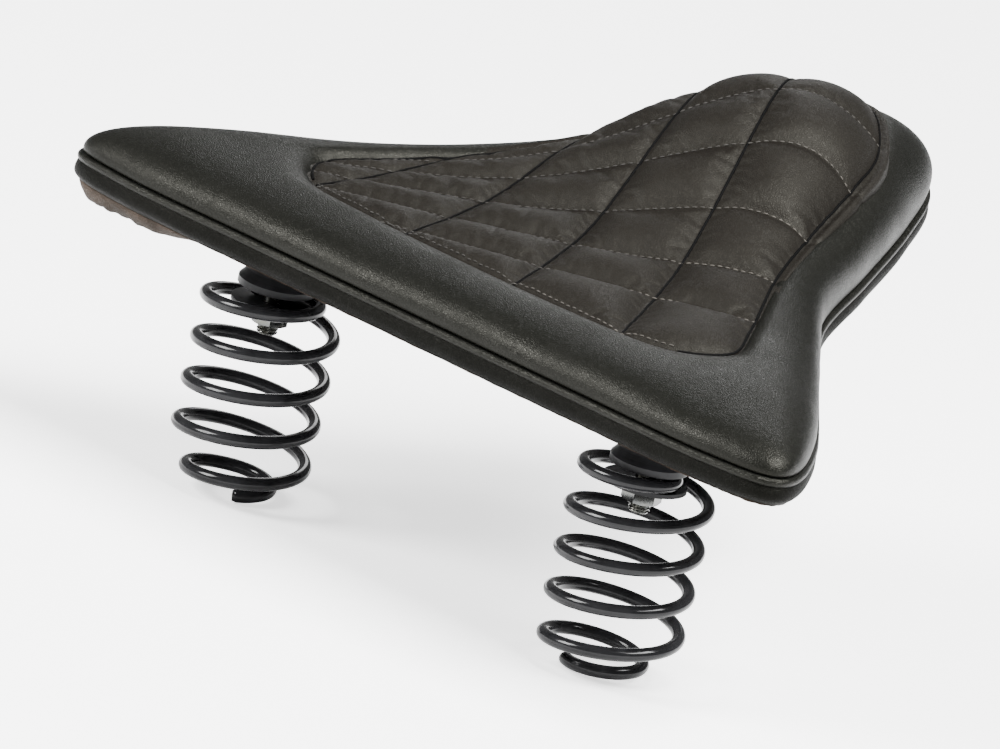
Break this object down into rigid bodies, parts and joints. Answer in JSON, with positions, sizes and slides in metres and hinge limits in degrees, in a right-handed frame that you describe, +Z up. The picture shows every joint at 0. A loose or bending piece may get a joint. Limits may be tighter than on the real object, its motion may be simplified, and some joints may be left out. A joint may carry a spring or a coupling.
{
  "type": "motorcycle seat",
  "caption": "Sprung solo motorcycle seat: quilted leather saddle on a steel pan, hinged at the nose and carried on coil springs under the tail.",
  "frame": {"origin": "centre of the frame bolt's hole, on the underside of the hinge plate under the nose", "axes": "+Z up along the springs, +Y to the nose, +X to the rider's right"},
  "size_m": [0.3468, 0.268, 0.1781],
  "materials": {
    "pan_steel": "semi-matt black paint on pressed steel",
    "foam": "moulded seat foam",
    "border_leather": "smooth black leather with a fine grain",
    "insert_leather": "black leather, quilted, slightly brown",
    "welt_leather": "black leather over a cord",
    "hem_leather": "folded leather, flesh side out, brown grey",
    "zinc": "bright zinc plate",
    "black_enamel": "black enamel",
    "spring_enamel": "glossy black enamel on spring wire",
    "bronze": "sintered bronze"
  },
  "bodies": {
    "base": {"pivot_base": "black_enamel", "pivot_bolt": "zinc", "pivot_washers": "zinc", "pivot_nut": "zinc", "left_spring": "spring_enamel", "right_spring": "spring_enamel"},
    "seat": {"seat_pan": "pan_steel", "foam_base": "foam", "foam_core": "foam", "border_roll": "border_leather", "quilted_insert": "insert_leather", "edge_welt": "welt_leather", "side_skirt": "border_leather", "folded_hem": "hem_leather", "hem_rivets": "zinc", "left_spool": "black_enamel", "right_spool": "black_enamel", "spring_bolts": "zinc", "spring_washers": "black_enamel", "spring_nuts": "zinc", "nose_bracket": "black_enamel", "nose_bushes": "bronze", "nose_screws": "zinc", "nose_washers": "zinc", "nose_nuts": "zinc"}
  },
  "joints": [
    {"name": "seat_tilt", "type": "hinge", "parent": "base", "child": "seat", "pos_m": [0, 0, 0.021], "axis": [1, 0, 0], "range_deg": [-2, 8], "stiffness_Nm_per_rad": 900, "deforming": ["left_spring", "right_spring"]}
  ]
}
